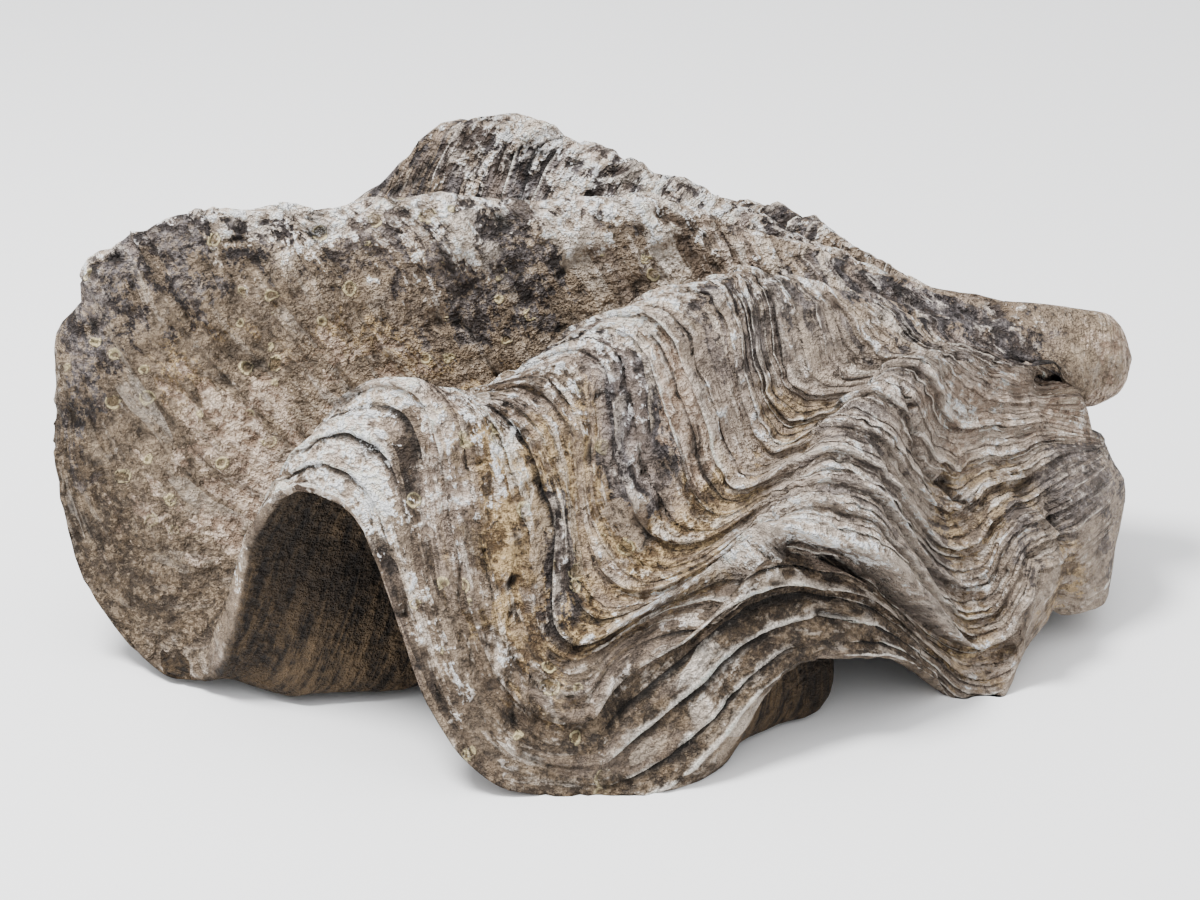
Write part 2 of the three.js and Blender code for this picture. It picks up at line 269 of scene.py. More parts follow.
def along_columns(columns, v):
    """Points at the growth values v, one row of them for each column."""
    n = columns.shape[1]
    ext = np.concatenate([2 * columns[:, :1] - columns[:, 1:2], columns,
                          2 * columns[:, -1:] - columns[:, -2:-1]], 1)
    j = np.clip(np.floor(v).astype(int), 0, n - 2)
    f = (v - j)[..., None]
    rows = np.arange(len(columns))[:, None]
    return catmull(ext[rows, j], ext[rows, j + 1], ext[rows, j + 2], ext[rows, j + 3], f)


def ledge_strength(a):
    near_side = np.maximum(0, 1 - around_gap(a, NAMES.index("rib_near_2")) / 4.5)
    far_side = np.maximum(0, 1 - around_gap(a, NAMES.index("rib_far_2")) / 3)
    return 0.22 + 0.88 * np.maximum(near_side, 0.5 * far_side)


def flake(a, v):
    """The flaked hollow below the lip of the second near rib, with shallow steps in it."""
    width = np.maximum(0, 1 - around_gap(a, NAMES.index("rib_near_2")) / 0.95)
    below = v - 8
    steps = np.maximum(0.2, 1 - 0.22 * np.floor(below * 3.2))
    depth = FLAKE_DEPTH * np.minimum(1, width * 2.2) * steps * np.clip((1.02 - below) * 4, 0, 1)
    return np.where((width > 0) & (below > 0.001), depth, 0)


NET = outer_net()
UNDER = under_net(NET)


def frame_at(a, v):
    """Points of the smooth outer face, the way out of it, the way along its growth, and growth in mm."""
    step = 0.01
    here = columns_at(NET, a)
    point = along_columns(here, v)
    run = along_columns(here, np.minimum(v + step, LAST)) - along_columns(here, np.maximum(v - step, 0))
    span = np.minimum(v + step, LAST) - np.maximum(v - step, 0)
    side = along_columns(columns_at(NET, a + step), v) - point
    return point, unit(np.cross(run, side)), unit(run), np.linalg.norm(run, axis=-1) / span


# Growth layers.

def growth_layers():
    """The layers' lips from beak to mouth, big ledges among them, and how strongly each stands out."""
    rng = np.random.default_rng(11)
    lips = []
    at = LAYERS_FROM
    for mark in sorted([place for place, _ in BIG_LEDGES] + [SHARP_LIP, LAST]):
        gap = mark - at
        parts = rng.uniform(0.5, 1.5, max(1, round(gap / LAYER_GAP)))
        parts = np.cumsum(parts / parts.sum() * gap)
        lips += [at + part for part in parts[:-1]] + [mark]
        at = mark
    return np.array(lips), rng.choice([0.3, 0.7, 1.3], len(lips), p=[0.4, 0.3, 0.3])


LIPS, LIP_WEIGHTS = growth_layers()
WITHIN = (0.03, 0.45, 0.88, 1.0)
BEAK_FROM, BEAK_TO, BEAK_ROWS = 0.08, 2.55, 19


def row_table():
    """Growth value, layer number and place within its layer (0 foot, 1 lip) of each row outside."""
    rows = [(x, -1, 0.0) for x in np.linspace(BEAK_FROM, BEAK_TO, BEAK_ROWS)]
    before = FIRST_LAYER
    for k, lip in enumerate(LIPS):
        rows += [(before + (lip - before) * share, k, share) for share in WITHIN]
        before = lip
    return np.array(rows)


ROWS = row_table()
COLUMN_CUTS = [7, 8, 9, 12, 14, 18, 23, 25, 34, 38, 49, 49, 39, 29, 18, 14, 11, 7, 6]
PLACES = np.concatenate([i + np.arange(n) / n for i, n in enumerate(COLUMN_CUTS)])

# Places on the shell are a line's number, counted round it from the hinge, and a growth level.
# On the near ribs the growth lines don't cross the net evenly: they drop steeply from the crest of the first
# near rib, turn in the valley and rise again. Each line is given by its level and the places it passes.
GROWTH_LINES = {
    4: [(9.3, 4), (13.2, 4)],
    5: [(9.3, 5), (10, 4.82), (10.28, 4.9), (10.44, 5.06), (10.58, 5.22), (10.7, 5.32), (10.98, 5.28),
        (11.12, 5.08), (11.4, 4.95), (11.84, 5), (12.1, 4.92), (12.6, 4.92), (13.2, 5)],
    6: [(9.3, 6), (9.7, 5.5), (10, 5.2), (10.28, 5.26), (10.42, 5.38), (10.52, 5.54), (10.6, 5.66),
        (10.72, 5.76), (10.86, 5.82), (11.04, 5.98), (11.2, 5.88), (11.32, 5.78), (11.76, 6), (13.2, 6)],
    6.9: [(9.3, 6.9), (9.7, 6.3), (10, 5.9), (10.28, 5.95), (10.42, 6.12), (10.56, 6.3), (10.72, 6.42),
          (10.86, 6.54), (10.98, 6.6), (11.08, 6.52), (11.24, 6.4), (11.64, 6.78), (12.04, 6.9),
          (13.2, 6.9)],
    7.15: [(9.3, 7.15), (9.7, 6.6), (10, 6.2), (10.24, 6.3), (10.34, 6.48), (10.42, 6.66), (10.52, 6.84),
           (10.64, 6.93), (10.84, 6.94), (10.94, 6.88), (11.02, 6.78), (11.12, 6.64), (11.26, 6.52),
           (11.52, 6.72), (11.76, 7.02), (12.04, 7.13), (13.2, 7.15)],
    8: [(9.3, 8), (9.7, 7.4), (10, 7.1), (10.3, 7.15), (10.5, 7.28), (10.6, 7.4), (10.75, 7.7),
        (10.88, 7.95), (10.98, 8), (11.08, 7.68), (11.16, 7.2), (11.28, 7.05), (11.5, 7.3), (11.74, 7.72),
        (12, 7.95), (13.2, 8)],
    9: [(9.3, 9), (13.2, 9)],
}


def followed(a, g):
    """Where on the net the growth line of level g runs."""
    levels = list(GROWTH_LINES)
    spread = np.linspace(-0.07, 0.07, 5)
    shifts = []
    for level in levels:
        line = np.array(GROWTH_LINES[level])
        at = [np.interp(a[:, 0] + d, line[:, 0], line[:, 1] - level) for d in spread]
        shifts.append(np.mean(at, 0))
    shifts = np.array(shifts)
    k = np.clip(np.searchsorted(levels, g) - 1, 0, len(levels) - 2)
    low, high = np.array(levels, float)[k], np.array(levels, float)[k + 1]
    f = np.clip((g - low) / (high - low), 0, 1)
    column = np.arange(len(a))[:, None]
    return g + shifts[k, column] * (1 - f) + shifts[k + 1, column] * f


# Lumps (up) and holes (down): place, reach and height in millimetres.
SHAPES = [
    ((13.95, 7.1), (0.5, 0.45), 6.0), ((15.4, 7.1), (0.8, 1.0), 9.0), ((14.3, 6.35), (0.3, 0.4), -6.0),
    ((14.75, 7.3), (0.22, 0.8), -6.0), ((14.0, 9.0), (0.45, 0.7), -3.0), ((13.0, 9.0), (0.4, 0.5), -4.0),
    ((13.05, 5.78), (0.16, 0.1), -9.0), ((12.95, 7.87), (0.13, 0.06), -7.0),
    ((12.05, 8.68), (0.2, 0.045), -6.0),
    ((12.22, 8.16), (0.26, 0.12), -13.0), ((13.3, 8.3), (0.3, 0.5), -1.0), ((14.2, 8.2), (0.4, 0.4), 4.0),
    ((10.5, 6.78), (0.3, 0.14), 4.0), ((9.0, 7.9), (0.5, 0.8), -3.0), ((10.62, 7.9), (0.12, 0.2), -3.0),
    ((8.05, 7.9), (0.35, 0.35), 5.0), ((8.0, 8.45), (0.25, 0.25), 4.0), ((8.1, 6.0), (0.3, 0.3), 3.0),
    ((6.05, 7.2), (0.4, 0.5), 3.0), ((11.75, 8.5), (0.25, 0.2), -4.0), ((12.6, 5.75), (0.14, 0.08), -6.0),
    ((9.62, 8.75), (0.25, 0.25), 3.0), ((16.2, 7.4), (0.4, 0.4), 4.0), ((15.5, 8.3), (0.3, 0.4), -4.0),
]

# The fissure between the second near rib and the third, as an overhanging lip: from one place to another.
FISSURE = ((11.95, 5.25), (13.55, 6.15))

# Scales across the growth lines: height, slope, gap, ranges of lines and growth levels, and how softly
# they start.
SCALES = [
    (4.0, 1.8, 0.33, (7.8, 8.42), (4.4, 6.6), 0.12),
    (3.2, 1.9, 0.34, (5.9, 6.75), (4.6, 8.8), 0.15),
]

# Where the layers show: a range of lines, a range of growth levels and how strongly.
LAYERED = [
    ((11.15, 13.3), (2.6, 9.5), 1.0), ((13.3, 14.7), (2.6, 7.0), 0.65), ((14.7, 17.2), (2.6, 6.2), 0.45),
    ((10.1, 11.2), (3.0, 7.2), 0.6), ((10.1, 11.2), (7.2, 8.1), 0.35), ((9.2, 10.3), (7.9, 9.5), 0.9),
    ((5.4, 6.9), (3.0, 9.5), 0.4), ((0.3, 5.4), (2.8, 9.5), 0.7), ((17.2, 18.9), (2.6, 9.5), 0.5),
    ((9.4, 10.1), (2.8, 6.0), 0.4), ((13.3, 17.2), (6.2, 9.5), 0.28),
]
LEAST_LAYERED = 0.1


def region(a, v, lines, levels, soft_a=0.18, soft_v=0.3):
    """1 within a range of lines and growth levels, fading out at its edges."""
    def between(x, low, high, soft):
        return smooth(x, low - soft, low + soft) * (1 - smooth(x, high - soft, high + soft))
    return between(a, lines[0], lines[1], soft_a) * between(v, levels[0], levels[1], soft_v)


def layer_strength(a, v):
    """How strongly the layers show: most on the near right side, least on the pitted flanks."""
    shown = [value * region(a, v, lines, levels, 0.3) for lines, levels, value in LAYERED]
    return np.maximum(LEAST_LAYERED, np.max(shown, 0))


def blurred(x, reach):
    """A grid's values averaged with their neighbours', round the shell and along it."""
    for _ in range(2):
        x = sum(np.roll(x, k, 0) for k in range(-reach, reach + 1)) / (2 * reach + 1)
        wide = np.pad(x, ((0, 0), (reach, reach)), mode="edge")
        x = sum(wide[:, k:k + x.shape[1]] for k in range(2 * reach + 1)) / (2 * reach + 1)
    return x


def saw(x):
    """Overlapping scales: a slow rise and a quick drop, from 0 to 1."""
    f = x - np.floor(x)
    return np.where(f < 0.82, f / 0.82, (1 - f) / 0.18)


# Whole parts of the shell that lie further out than the net gives them: place, reach and way.
BULGES = [
    ((13.2, 9.0), (0.4, 0.8), (0, -15, 0)), ((13.62, 9.0), (0.25, 0.5), (-4, 0, 9)),
    ((16.4, 3.9), (1.5, 1.1), (14, 0, 9)), ((16.3, 5.3), (1.4, 1.2), (12, 0, -7)),
    ((15.3, 8.9), (0.6, 0.7), (4, -4, -4)),
]


def bulged(point, a, v, least=0):
    """The points moved out by the bulges that lie at the growth level least or beyond."""
    for place, reach, way in BULGES:
        if place[1] >= least:
            point = point + blob(a, v, place, reach)[..., None] * np.array(way, float)
    return point


def ledge_height(a, g, growth):
    """Big ledges, as in the solid, each stronger here and weaker there."""
    lift = np.zeros_like(g)
    for k, (at, height) in enumerate(BIG_LEDGES):
        before = at - g
        uneven = 0.85 + 0.55 * noise(np.stack([a * 1.7, 0 * a + 9.1 * k, 0 * a], -1), 1, 8, 2)
        rise = height * uneven * (1 - np.clip(before / LEDGE_REACH, 0, 1))**1.5
        lift = np.maximum(lift, np.where((before > -0.001) & (before < LEDGE_REACH), rise, 0))
    plain = 1 - 0.8 * region(a, g, (8.2, 9.3), (3.0, 9.5), 0.3)
    return np.minimum(lift * ledge_strength(a) * plain, 0.22 * growth)


def layer_thickness(a, growth, strength):
    """How far the layer of each row stands out at its lip."""
    thick = np.zeros_like(a)
    before = FIRST_LAYER
    for k, lip in enumerate(LIPS):
        rows = np.nonzero(ROWS[:, 1] == k)[0]
        spots = a[:, rows]
        own = noise(np.stack([spots * 2.1, 0 * spots + 3.7 * k, 0 * spots], -1), 1, 21, 3)
        own = np.clip(0.6 + 1.1 * own, 0.02, 1.5) * LIP_WEIGHTS[k]
        most = 0.4 * (lip - before) * growth[:, rows]
        thick[:, rows] = np.minimum(LAYER_HEIGHT * strength[:, rows] * own, most)
        before = lip
    return thick


def scale_height(point, a, v, flow):
    """Scales that cross the growth lines on the flanks of the middle rib and the first far one."""
    slant = 0.7 * noise(flow * [2, 1.2, 1], 1, 25, 2)
    total = 0 * a
    for height, slope, gap, lines, levels, soft in SCALES:
        total += height * saw((v - slope * a) / gap + slant) * region(a, v, lines, levels, soft)
    return total * np.clip(0.7 + 0.9 * noise(point, 30, 26, 2), 0, 1.4)


def fissure_height(a, v, flow):
    """The fissure's lip: the shell above it overhangs the shell below."""
    (a0, v0), (a1, v1) = FISSURE
    along = np.clip((a - a0) / (a1 - a0), 0, 1)
    past = v - (v0 + (v1 - v0) * along) - 0.05 * noise(flow * [6, 1, 1], 1, 27, 2)
    ends = smooth(a, a0 - 0.1, a0 + 0.35) * (1 - smooth(a, a1 - 0.3, a1 + 0.2))
    lip = 1.8 * smooth(past, -0.35, -0.02) * (past < 0)
    groove = 5.0 * (past >= 0) * (1 - smooth(past, 0.0, 0.16))
    return ends * (lip - groove)


def lump_height(point, a, v):
    """Lumps and chips, larger on the crests of the middle rib and the first far one."""
    knobs = region(a, v, (7.6, 8.5), (3.5, 9.5), 0.2) + region(a, v, (5.6, 6.6), (3.5, 9.5), 0.2)
    lumps = 2.2 * noise(point, 62, 31, 2) + 2.0 * noise(point, 26, 32, 2) + 1.3 * noise(point, 11, 33, 2)
    lumps += knobs * (4.6 * noise(point, 42, 34) + 3.0 * noise(point, 19, 36, 2))
    chips = 1 - 2.2 * np.abs(noise(point, 15, 35, 2))
    return lumps + 1.5 * chips * (0.7 + 0.5 * knobs)


def dent_depth(point, a, g):
    """Pits, deepest on the flank of the middle rib and on that of the first near one."""
    pitted = 1 + 0.9 * region(a, g, (7.9, 8.9), (4.5, 8.3), 0.3)
    pitted += 0.5 * region(a, g, (10.2, 11), (7.2, 9.2), 0.2)
    wide = np.maximum(0, noise(point, 12, 41, 2) - 0.25) * 6.0
    narrow = np.maximum(0, noise(point, 6, 42) - 0.4) * 4.5
    return (wide + narrow) * pitted


def outer_face():
    a = PLACES[:, None] + 0 * ROWS[None, :, 0]
    g = ROWS[None, :, 0] + 0 * a
    within = ROWS[None, :, 2] + 0 * a

    # The growth lines wander a little, a whole layer with its neighbours.
    flow = np.stack([a, g, 0 * a], -1)
    wander = 0.1 * noise(flow * [1.3, 0.55, 1], 1, 3, 2) + 0.05 * noise(flow * [5, 1.6, 1], 1, 4, 2)
    v = g + wander * smooth(g, 2.3, 3.6) * (1 - smooth(g, 8.6, 9.0))
    v += followed(a, g) - g
    ragged = 0.5 + 0.5 * noise(flow * [7, 0.3, 1], 1, 5, 3)
    v = np.clip(v - 0.07 * ragged * smooth(g, 8.5, 9.0), 0, LAST)
    point, out, run, growth = frame_at(PLACES, v)

    # Layers: each rises to its lip, which leans over, and drops to the foot of the next.
    strength = layer_strength(a, g)
    thick = layer_thickness(a, growth, strength)
    chipped = 0.5 + 0.9 * noise(point, 7, 22, 2)
    front = region(a, g, (11.2, 12.9), (8.1, 9.5), 0.15, 0.1)
    layers = thick * (within**1.5 - 0.25 * (within < 0.1)) * (1 - 0.4 * front)
    lean = thick * 0.75 * chipped * within**5 * (1 - 0.4 * front)

    # Fine striae along the layers, coarser on the front below the second near rib.
    fibres = front + region(a, g, (12.1, 13.0), (7.5, 8.1), 0.15, 0.1)
    striae = 0.9 * strength * noise(flow * [1.6, 11, 1], 1, 28, 2)
    striae += 2.6 * fibres * noise(flow * [3.5, 8, 1], 1, 29, 2)

    # The beak, the floor of the valley behind the first near rib and the near right lobe are smoother.
    rough = (1 - 0.75 * (1 - smooth(v, 1.7, 3.0))) * (1 - 0.55 * region(a, v, (8.6, 9.4), (6.5, 8.6), 0.3))
    even = 1 - 0.85 * region(a, g, (13.4, 14.3), (8.5, 9.5), 0.15)
    layers = (layers + striae) * even
    lean = lean * even
    uneven = (lump_height(point, a, v) * even - dent_depth(point, a, g)) * rough

    lift = ledge_height(a, g, growth)
    scales = scale_height(point, a, v, flow)
    fissure = fissure_height(a, v, flow)
    shapes = sum(height * blob(a, v, place, reach) for place, reach, height in SHAPES)
    # The crevice between the beak and the ribs.
    crevice = -6.0 * region(a, g, (12.0, 16.6), (2.5, 2.75), 0.7, 0.1)
    height = lift * even + scales + layers + fissure + crevice + shapes - flake(a, g) + uneven - SUNK
    place = point + out * height[..., None] + run * (lean + 0.35 * lift * within**5)[..., None]

    # The near right lobe and the block below the beak bulge, and are worn smooth.
    place = bulged(place, a, g)
    worn = region(a, g, (13.3, 14.5), (8.4, 9.9), 0.2) + region(a, g, (15.0, 18.6), (4.0, 9.9), 0.3)
    worn = (0.85 * np.clip(worn, 0, 1))[..., None]
    level = np.stack([blurred(place[..., k], 5) for k in range(3)], -1)
    place = place * (1 - worn) + level * worn

    # Masks for the colour: painted shade in the hollows, holes, fissure and crevice and at the feet of
    # layers; painted highlight on bumps; pale lips, partly wear and partly painted highlight.
    small = layers + 0.6 * lift + scales + uneven + fissure * 0.6
    relief = small - blurred(small, 4)
    deep = np.clip(thick / 2.2, 0, 1) * (within < 0.1) + 0.8 * np.clip(-relief / 4.5, 0, 1)
    deep += np.clip(-shapes / 9, 0, 1) + np.clip(-fissure / 5, 0, 1) - crevice / 6
    marks = {
        "growth": g, "around": a, "inside": 0 * a, "hollow": np.clip(deep, 0, 1),
        "lip": within**4 * np.clip(thick / 1.5, 0, 1) * np.clip(0.5 + chipped, 0, 1),
        "raised_highlight": np.clip(relief / 3.0, 0, 1) * (1 - 0.7 * region(a, g, (8.2, 9.4), (6.0, 9.5))),
    }
    return place, marks


# Where each colour lies: a range of lines, a range of growth levels and how strongly.
TINTS = {
    "slate": [
        ((15, 18.5), (0.9, 2.3), 0.45), ((7.7, 8.35), (5.0, 8.6), 0.75), ((10.12, 10.62), (6.86, 7.16), 1.2),
        ((10.5, 10.78), (7.75, 8.1), 0.9), ((5.4, 6.9), (3.5, 9.0), 0.6), ((14.7, 16.0), (5.6, 7.6), 0.85),
        ((13.7, 14.2), (6.4, 8.2), 0.5), ((8.2, 13.5), (2.4, 4.3), 0.7), ((11.4, 12.9), (3.5, 7.5), 0.4),
        ((0, 5.5), (2.5, 9.5), 0.4), ((10.1, 10.6), (4.6, 6.4), 0.5), ((15.5, 19), (2.5, 9.5), 0.4),
        ((9.7, 10.1), (6.4, 7.4), 0.4), ((8.2, 8.6), (5.4, 6.4), 0.75),
    ],
    "ochre": [
        ((10.75, 11.2), (6.5, 8.1), 0.95), ((10.2, 10.9), (7.15, 8.4), 0.85), ((8.25, 9.0), (5.8, 8.2), 0.3),
        ((12.7, 14.4), (5.5, 7.0), 0.7), ((12.8, 13.4), (7.1, 8.8), 0.6), ((10.7, 11.3), (5.0, 6.6), 0.65),
        ((13.9, 15.2), (7.6, 9.2), 0.4), ((3.5, 5.2), (6.5, 9.2), 0.45), ((6.7, 7.5), (6.0, 9.2), 0.5),
    ],
    "cream": [
        ((9.75, 10.2), (5.6, 7.3), 0.7), ((9.6, 10.25), (7.6, 8.9), 0.6), ((10.0, 10.3), (8.0, 9.1), 0.3),
        ((11.1, 12.25), (7.35, 8.02), 0.75), ((9.8, 10.3), (4.4, 5.9), 0.65), ((9.5, 10.4), (7.9, 9.5), 0.5),
        ((7.75, 8.08), (3.5, 7.8), 0.6), ((13.0, 15.0), (6.9, 7.3), 0.3), ((5.6, 6.4), (3.5, 7.4), 0.7),
        ((11.85, 12.2), (4.5, 7.4), 0.5), ((9.4, 10.1), (8.1, 8.9), 0.9), ((7.55, 8.25), (4.5, 7.0), 0.8),
        ((9.6, 10.3), (6.4, 8.0), 0.3), ((3.8, 4.2), (4.0, 8.8), 0.4), ((12.2, 14.0), (3.2, 5.2), 0.45),
    ],
    "rosy": [
        ((8.65, 9.3), (6.6, 8.4), 0.85), ((10.28, 10.7), (6.62, 6.88), 1.3), ((-1, 20), (-1, 1.9), 0.75),
        ((6.6, 7.3), (4.5, 6.6), 0.4), ((12.2, 16.5), (3.2, 5.6), 0.45),
    ],
    "dusky": [
        ((7.9, 9.3), (8.25, 9.5), 0.85), ((11.3, 12.7), (8.05, 9.5), 1.0), ((10.7, 11.7), (8.2, 9.5), 1.0),
        ((8.15, 8.9), (5.0, 8.6), 0.4), ((7.6, 8.6), (8.4, 9.5), 0.8),
    ],
    "soft": [
        ((10.2, 11.2), (4.2, 6.6), 0.6), ((11.1, 13.1), (3.2, 8.05), 1.0), ((13.1, 15.0), (3.0, 7.2), 0.75),
        ((14.6, 17.2), (5.6, 9.5), 0.5), ((12.8, 15.0), (6.9, 9.5), 0.5),
    ],
    "calm": [
        ((8.1, 9.5), (5.2, 9.5), 0.95), ((7.7, 8.9), (8.0, 9.5), 0.9), ((10.6, 12.6), (8.4, 9.5), 0.6),
        ((-1, 20), (-1, 2.4), 1.0), ((13.4, 14.6), (7.6, 9.5), 0.7), ((14.5, 16.2), (6.2, 9.5), 0.6),
    ],
    "pitted": [
        ((7.95, 8.85), (4.8, 8.4), 1.0), ((10.2, 11.0), (7.2, 9.2), 0.9), ((10.2, 11.0), (4.4, 6.0), 0.3),
        ((6.9, 8.0), (5.5, 9.0), 0.8), ((4.4, 5.6), (5.5, 9.0), 0.6),
    ],
}


def tints(marks):
    """Weights of the colours, for the whole mesh. None of them reaches inside."""
    a, v, outside = marks["around"], marks["growth"], 1 - marks["inside"]
    for name, ranges in TINTS.items():
        weight = 0 * a
        for lines, levels, value in ranges:
            soft_a = min(0.3, (lines[1] - lines[0]) * 0.45)
            soft_v = min(0.4, (levels[1] - levels[0]) * 0.4)
            weight = np.maximum(weight, value * region(a, v, lines, levels, soft_a, soft_v))
        marks[name] = weight * outside


# The underside.

def cad_underside():
    """The solid's underside: the plain one drawn inwards until it lies deep enough below the outer face."""
    places = np.concatenate([i + np.arange(n) / n for i, n in enumerate(CAD_CUTS)])
    rows = [0.5, 1, 1.5, 2, 2.5, 3.1]
    for i, (at, _) in enumerate(BIG_LEDGES):
        following = BIG_LEDGES[i + 1][0] if i + 1 < len(BIG_LEDGES) else LAST
        rows += [at, at + 0.05, (at + following) / 2]
        if following - at > 0.52:
            rows.append(following - 0.12)
    rows.append(LAST)
    v = np.array(rows)[None] + 0 * places[:, None]
    a = places[:, None] + 0 * v
    point, out, _, growth = frame_at(places, v)
    lift = np.zeros_like(v)
    for at, height in BIG_LEDGES:
        before = at - v
        rise = height * (1 - np.clip(before / LEDGE_REACH, 0, 1))**1.5
        lift = np.maximum(lift, np.where((before > -0.001) & (before < LEDGE_REACH), rise, 0))
    lift = np.minimum(lift * ledge_strength(a), 0.2 * growth) - flake(a, v)
    outside = (point + out * lift[..., None]).reshape(-1, 3)
    normal = out.reshape(-1, 3)
    levels = np.array([5, 4.6, 4.2, 3.8, 3.4, 3, 2.6, 2.2, 1.8, 1.4, 1, 0.6])
    under = along_columns(columns_at(UNDER, places), levels[None] + 0 * places[:, None])
    wanted = np.where(np.arange(len(levels)) < 2, MOUTH_DEPTH, INNER_DEPTH)[None] + 0 * places[:, None]
    for _ in range(DRAW_ROUNDS):
        flat = under.reshape(-1, 3)
        gap = ((flat**2).sum(1)[:, None] - 2 * flat @ outside.T + (outside**2).sum(1)[None])
        k = gap.argmin(1)
        depth = ((outside[k] - flat) * normal[k]).sum(1)
        push = np.where(depth < wanted.ravel(), DRAW_SHARE * (depth - wanted.ravel()), 0)
        under = (flat + normal[k] * push[:, None]).reshape(under.shape)
        before = under.copy()
        sides = (np.roll(before, 1, 0) + np.roll(before, -1, 0)) / 2
        ends = (before[:, :-2] + before[:, 2:]) / 2
        middle = (sides[:, 1:-1] + ends) / 2
        under[:, 1:-1] = before[:, 1:-1] + (middle - before[:, 1:-1]) * DRAW_EVENING
    under = np.concatenate([under, np.repeat(HOLLOW_TOP[None, None], len(places), 0)], 1)
    return places, under


def underside():
    places, coarse = cad_underside()
    # Between the solid's columns the underside is a smooth curve.
    spots = np.interp(PLACES, np.append(places, COUNT), np.arange(len(places) + 1))
    i = np.floor(spots).astype(int)
    f = (spots - i)[:, None, None]
    n = len(places)
    columns = catmull(coarse[(i - 1) % n], coarse[i % n], coarse[(i + 1) % n], coarse[(i + 2) % n], f)
    t = np.linspace(0, coarse.shape[1] - 1, UNDER_ROWS + 1)[:-1]
    t = t[None] + 0 * PLACES[:, None]
    point = along_columns(columns, t)
    run = along_columns(columns, t + 0.02) - along_columns(columns, np.maximum(t - 0.02, 0))
    side = np.roll(point, -1, 0) - np.roll(point, 1, 0)
    out = unit(np.cross(run, side))
    a = PLACES[:, None] + 0 * t
    g = LAST - t * UNDER_GROWTH
    edge = smooth(t, 0, 1.5)
    flow = np.stack([a, g, 0 * a], -1)
    ripples = 0.9 * noise(flow * [2.0, 9, 1], 1, 61, 2) + 0.6 * noise(flow * [1.1, 22, 1], 1, 62, 2)
    lumps = 2.4 * noise(point, 50, 63, 3) + 0.8 * noise(point, 11, 64, 2) + ripples
    place = point + out * (lumps * (0.25 + 0.75 * edge) * 0.8)[..., None]
    place = bulged(place, a, g, 8)
    marks = {
        "growth": g, "around": a, "inside": 0 * a + 1, "lip": 0 * a,
        "hollow": np.clip(noise(point, 9, 65, 2) - 0.3, 0, 1), "raised_highlight": 0 * a,
    }
    return place, marks


# One closed mesh.

# The unrolled shell's radius at the mouth and its length for each growth level, in metres.
UNROLLED_RADIUS = 0.08
UNROLLED_STEP = 0.055

# Rows over the rim: how far each lies from the outer edge to the inner one, and how much it belongs inside.
RIM_SHARES = (0.18, 0.5, 0.82)
RIM_INSIDE = (0.2, 0.45, 0.9)
RIM_ROUNDING = 3.6

# The shell thins towards the rim of the near arch: how far the rows of the underside are drawn to the edge.
THINNED = (0.55, 0.5, 0.42, 0.3, 0.18, 0.08)


def unrolled(marks):
    """Adds places on the unrolled shell, on which distances round the shell are three times too short."""
    turn = marks["around"] * 2 * math.pi / COUNT
    radius = UNROLLED_RADIUS * (marks["growth"] / LAST)**1.5
    marks["unrolled_x"] = radius * np.cos(turn)
    marks["unrolled_y"] = radius * np.sin(turn)
    marks["unrolled_z"] = marks["growth"] * UNROLLED_STEP


def shell_mesh():
    top, marks = outer_face()
    low, low_marks = underside()
    around = marks["around"][:, 0]
    thin = smooth(around, 8.3, 8.9) * (1 - smooth(around, 10.3, 10.9))
    gap = top[:, -1] - low[:, 0]
    for row, share in enumerate(THINNED):
        low[:, row] += gap * (share * thin)[:, None]

    # The rim: three rows over the broken edge, between the outer face and the underside.
    edge, foot = top[:, -1], low[:, 0]
    ahead = unit(edge - top[:, -5])
    rim = []
    for t in RIM_SHARES:
        middle = edge * (1 - t) + foot * t
        broken = 0.9 * noise(middle, 15, 71, 2) + 0.8 * noise(middle, 6, 72)
        rim.append(middle + ahead * (RIM_ROUNDING * math.sin(math.pi * t) + broken)[:, None])
    rim = np.stack(rim, 1)
    grid = np.concatenate([top, rim, low], 1)
    joined = {}
    for key, values in marks.items():
        between = np.repeat(values[:, -1:], len(RIM_SHARES), 1)
        if key == "inside":
            between = between + RIM_INSIDE
        elif key in ("lip", "hollow", "raised_highlight"):
            between = between * 0
        joined[key] = np.concatenate([values, between, low_marks[key]], 1)
    tints(joined)
    unrolled(joined)
    points = np.concatenate([grid[:, 0].mean(0)[None], grid.reshape(-1, 3), HOLLOW_TOP[None]])
    total, deep = grid.shape[:2]
    index = 1 + np.arange(total * deep).reshape(total, deep)
    after = np.roll(index, -1, 0)
    faces = np.stack([index[:, :-1], index[:, 1:], after[:, 1:], after[:, :-1]], -1).reshape(-1, 4).tolist()
    faces += [[0, int(index[i, 0]), int(after[i, 0])] for i in range(total)]
    faces += [[len(points) - 1, int(after[i, -1]), int(index[i, -1])] for i in range(total)]
    weights = {key: np.concatenate([[x[0, 0]], x.reshape(-1), [x[0, -1]]]) for key, x in joined.items()}
    return points, faces, weights


points, faces, values = shell_mesh()
points = points - ORIGIN

# Everything stays inside the solid's box and stands on the ground.
low_corner, high_corner = np.array(cad_box[0]) * 1000, np.array(cad_box[1]) * 1000
for k in range(3):
    most, least = points[:, k].max(), points[:, k].min()
    if most > high_corner[k]:
        points[points[:, k] > 0, k] *= high_corner[k] / most
    if k < 2 and least < low_corner[k]:
        points[points[:, k] < 0, k] *= low_corner[k] / least
points[:, 2] = np.maximum(points[:, 2], 0)

mesh = bpy.data.meshes.new("shell_surface")
mesh.from_pydata((points / 1000).tolist(), [], faces)
mesh.update()
for key, weights in values.items():
    layer = mesh.attributes.new(key, "FLOAT", "POINT")
    layer.data.foreach_set("value", weights.astype(np.float32))
mesh.shade_smooth()
shell = bpy.data.objects.new("shell_surface", mesh)
bpy.context.scene.collection.objects.link(shell)
print("triangles", sum(len(face) - 2 for face in faces), "layers", len(LIPS))

# Material.

RELIEF_DEPTH = 0.013
DEEPENING = 1.3
BRIGHTNESS = 1.48
PALEST = 0.92

